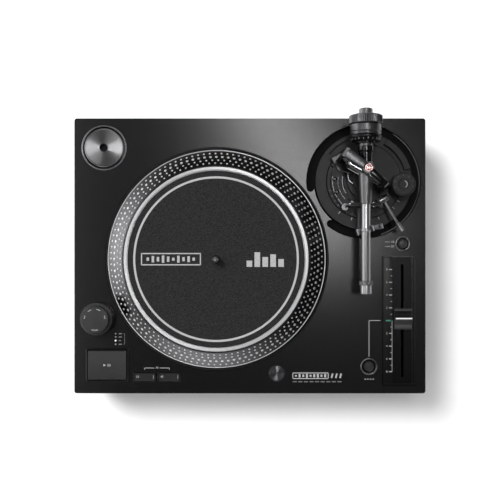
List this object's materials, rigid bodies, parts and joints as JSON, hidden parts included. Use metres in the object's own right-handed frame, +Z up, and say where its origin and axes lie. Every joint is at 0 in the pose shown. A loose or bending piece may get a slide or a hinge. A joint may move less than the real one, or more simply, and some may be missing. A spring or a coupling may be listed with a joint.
{
  "type": "turntable record player",
  "caption": "Compact direct-drive turntable for 7-inch records with a short straight tonearm, pitch fader, strobe-dot platter and 45 rpm adapter.",
  "frame": {"origin": "on the floor, under the middle of the whole outline, counterweight shaft included", "axes": "+X to the right of the player, along its longest side; +Y to its rear; +Z up along the record spindle"},
  "size_m": [0.346, 0.2736, 0.1295],
  "materials": {
    "casing_paint": "satin black paint",
    "chassis_black": "moulded matte",
    "bright_metal": "turned",
    "black_plastic": "matte",
    "well_metal": "dark anodised",
    "red_lens": "clear red",
    "led_lens": "frosted",
    "panel_metal": "brushed dark",
    "zinc_steel": "plated",
    "green_board": "solder mask",
    "copper_coil": "enamelled wire",
    "bronze": "sintered bronze",
    "transformer_blue": "taped",
    "foot_rubber": "moulded rubber",
    "platter_alloy": "machined and polished",
    "magnet_grey": "sintered",
    "mat_felt": "felt",
    "turned_alloy": "radially turned",
    "knob_dark": "satin",
    "key_dark": "satin",
    "chrome": "polished",
    "arm_metal": "satin anodised",
    "weight_metal": "dark nickel",
    "lift_rubber": "matte"
  },
  "bodies": {
    "plinth": {"top_casing": "casing_paint", "bottom_chassis": "chassis_black", "rear_panel": "chassis_black", "signal_jacks": "bright_metal", "mains_inlet": "black_plastic", "adapter_well": "well_metal", "strobe_housing": "black_plastic", "strobe_lens": "red_lens", "key_bezels": "black_plastic", "button_rings": "well_metal", "light_sleeve": "bright_metal", "status_leds": "led_lens", "pitch_panel": "panel_metal", "pitch_scale_plate": "panel_metal", "fader_body": "zinc_steel", "stator_board": "green_board", "stator_coils": "copper_coil", "bearing_housing": "zinc_steel", "bearing_bushes": "bronze", "main_board": "green_board", "power_supply": "transformer_blue", "arm_base_plate": "black_plastic", "casing_screws": "bright_metal"},
    "foot_front_left": {"foot_front_left": "foot_rubber"},
    "foot_front_right": {"foot_front_right": "foot_rubber"},
    "foot_rear_left": {"foot_rear_left": "foot_rubber"},
    "foot_rear_right": {"foot_rear_right": "foot_rubber"},
    "platter": {"platter": "platter_alloy", "spindle": "bright_metal", "rotor_magnet": "magnet_grey"},
    "slipmat": {"slipmat": "mat_felt"},
    "adapter": {"adapter_45": "turned_alloy"},
    "power_knob": {"power_knob": "knob_dark"},
    "start_stop_key": {"start_stop_button": "key_dark"},
    "speed_33_key": {"speed_33_button": "key_dark"},
    "speed_45_key": {"speed_45_button": "key_dark"},
    "reset_key": {"reset_button": "key_dark"},
    "range_key": {"range_button": "key_dark"},
    "target_light": {"target_light": "turned_alloy"},
    "pitch_fader": {"pitch_slider": "knob_dark"},
    "height_ring": {"height_ring": "black_plastic"},
    "arm_board": {"arm_board": "black_plastic", "yoke": "arm_metal", "pivot_screw": "chrome", "arm_rest": "arm_metal"},
    "height_lock": {"height_lock": "chrome"},
    "cue_lever": {"cue_lever": "arm_metal"},
    "lift_platform": {"lift_platform": "lift_rubber"},
    "anti_skate": {"anti_skate_dial": "knob_dark"},
    "rest_clip": {"arm_rest_clip": "arm_metal"},
    "gimbal": {"gimbal_frame": "chrome", "tilt_screws": "bright_metal"},
    "tonearm": {"arm_housing": "arm_metal", "arm_tube": "arm_metal", "headshell_socket": "arm_metal", "rear_shaft": "arm_metal"},
    "locking_collar": {"locking_collar": "arm_metal"},
    "weight_core": {"weight_core": "bronze"},
    "counterweight": {"counterweight": "weight_metal"},
    "force_ring": {"weight_dial": "weight_metal"}
  },
  "joints": [
    {"name": "platter_spin", "type": "hinge", "parent": "plinth", "child": "platter", "pos_m": [-0.0325, -0.0043, 0.092], "axis": [0, 0, 1], "continuous": true},
    {"name": "slipmat_slip", "type": "hinge", "parent": "platter", "child": "slipmat", "pos_m": [-0.0325, -0.0043, 0.093], "axis": [0, 0, 1], "continuous": true},
    {"name": "adapter_lift", "type": "slide", "parent": "plinth", "child": "adapter", "axis": [0, 0, 1], "range_m": [0, 0.02]},
    {"name": "power_turn", "type": "hinge", "parent": "plinth", "child": "power_knob", "pos_m": [-0.15, -0.0629, 0.088], "axis": [0, 0, 1], "range_deg": [0, 45]},
    {"name": "start_stop_press", "type": "slide", "parent": "plinth", "child": "start_stop_key", "axis": [0, 0, -1], "range_m": [0, 0.001], "stiffness_N_per_m": 400, "springref_m": -0.001},
    {"name": "speed_33_press", "type": "slide", "parent": "plinth", "child": "speed_33_key", "axis": [0, 0, -1], "range_m": [0, 0.001], "stiffness_N_per_m": 400, "springref_m": -0.001},
    {"name": "speed_45_press", "type": "slide", "parent": "plinth", "child": "speed_45_key", "axis": [0, 0, -1], "range_m": [0, 0.001], "stiffness_N_per_m": 400, "springref_m": -0.001},
    {"name": "reset_press", "type": "slide", "parent": "plinth", "child": "reset_key", "axis": [0, 0, -1], "range_m": [0, 0.001], "stiffness_N_per_m": 400, "springref_m": -0.001},
    {"name": "range_press", "type": "slide", "parent": "plinth", "child": "range_key", "axis": [0, 0, -1], "range_m": [0, 0.001], "stiffness_N_per_m": 400, "springref_m": -0.001},
    {"name": "target_light_rise", "type": "slide", "parent": "plinth", "child": "target_light", "axis": [0, 0, 1], "range_m": [0, 0.016]},
    {"name": "pitch_slide", "type": "slide", "parent": "plinth", "child": "pitch_fader", "axis": [0, 1, 0], "range_m": [-0.0524, 0.0476]},
    {"name": "foot_front_left_turn", "type": "hinge", "parent": "plinth", "child": "foot_front_left", "pos_m": [-0.138, -0.1053, 0.01], "axis": [0, 0, 1], "range_deg": [-180, 180]},
    {"name": "foot_front_right_turn", "type": "hinge", "parent": "plinth", "child": "foot_front_right", "pos_m": [0.138, -0.1053, 0.01], "axis": [0, 0, 1], "range_deg": [-180, 180]},
    {"name": "foot_rear_left_turn", "type": "hinge", "parent": "plinth", "child": "foot_rear_left", "pos_m": [-0.138, 0.1027, 0.01], "axis": [0, 0, 1], "range_deg": [-180, 180]},
    {"name": "foot_rear_right_turn", "type": "hinge", "parent": "plinth", "child": "foot_rear_right", "pos_m": [0.138, 0.1027, 0.01], "axis": [0, 0, 1], "range_deg": [-180, 180]},
    {"name": "height_ring_turn", "type": "hinge", "parent": "plinth", "child": "height_ring", "pos_m": [0.112, 0.0721, 0.076], "axis": [0, 0, 1], "range_deg": [0, 60]},
    {"name": "arm_height", "type": "slide", "parent": "plinth", "child": "arm_board", "axis": [0, 0, 1], "range_m": [0, 0.006]},
    {"name": "height_lock_turn", "type": "hinge", "parent": "arm_board", "child": "height_lock", "pos_m": [0.0922, 0.0462, 0.088], "axis": [0, 0, 1], "range_deg": [0, 40]},
    {"name": "cue_lever_turn", "type": "hinge", "parent": "arm_board", "child": "cue_lever", "pos_m": [0.1284, 0.0533, 0.092], "axis": [0.878, 0.4787, 0], "range_deg": [0, 32]},
    {"name": "lift_travel", "type": "slide", "parent": "arm_board", "child": "lift_platform", "axis": [0, 0, -1], "range_m": [0, 0.006]},
    {"name": "anti_skate_turn", "type": "hinge", "parent": "arm_board", "child": "anti_skate", "pos_m": [0.1465, 0.0672, 0.095], "axis": [0, 0, 1], "range_deg": [0, 270]},
    {"name": "rest_clip_turn", "type": "hinge", "parent": "arm_board", "child": "rest_clip", "pos_m": [0.11517, 0.02489, 0.1126], "axis": [-0.2588, 0.9659, 0], "range_deg": [-100, 0]},
    {"name": "arm_swing", "type": "hinge", "parent": "arm_board", "child": "gimbal", "pos_m": [0.1085, 0.0797, 0.111], "axis": [0, 0, 1], "range_deg": [-46, 0]},
    {"name": "arm_tilt", "type": "hinge", "parent": "gimbal", "child": "tonearm", "pos_m": [0.1085, 0.0767, 0.111], "axis": [-0.8746, 0.4848, 0], "range_deg": [0, 12]},
    {"name": "collar_turn", "type": "hinge", "parent": "tonearm", "child": "locking_collar", "pos_m": [0.1085, -0.0263, 0.111], "axis": [0, 1, 0], "range_deg": [0, 90]},
    {"name": "weight_travel", "type": "slide", "parent": "tonearm", "child": "weight_core", "axis": [0, 1, 0], "range_m": [-0.002, 0.002]},
    {"name": "weight_turn", "type": "hinge", "parent": "weight_core", "child": "counterweight", "pos_m": [0.1085, 0.1177, 0.111], "axis": [0, 1, 0], "range_deg": [-360, 360]},
    {"name": "force_ring_turn", "type": "hinge", "parent": "counterweight", "child": "force_ring", "pos_m": [0.1085, 0.1087, 0.111], "axis": [0, 1, 0], "range_deg": [-180, 180]}
  ],
  "couplings": [
    {"joint": "arm_height", "follows": "height_ring_turn", "m_per_rad": 0.0057296},
    {"joint": "lift_travel", "follows": "cue_lever_turn", "m_per_rad": 0.010743},
    {"joint": "weight_travel", "follows": "weight_turn", "m_per_rad": 0.00031831}
  ]
}
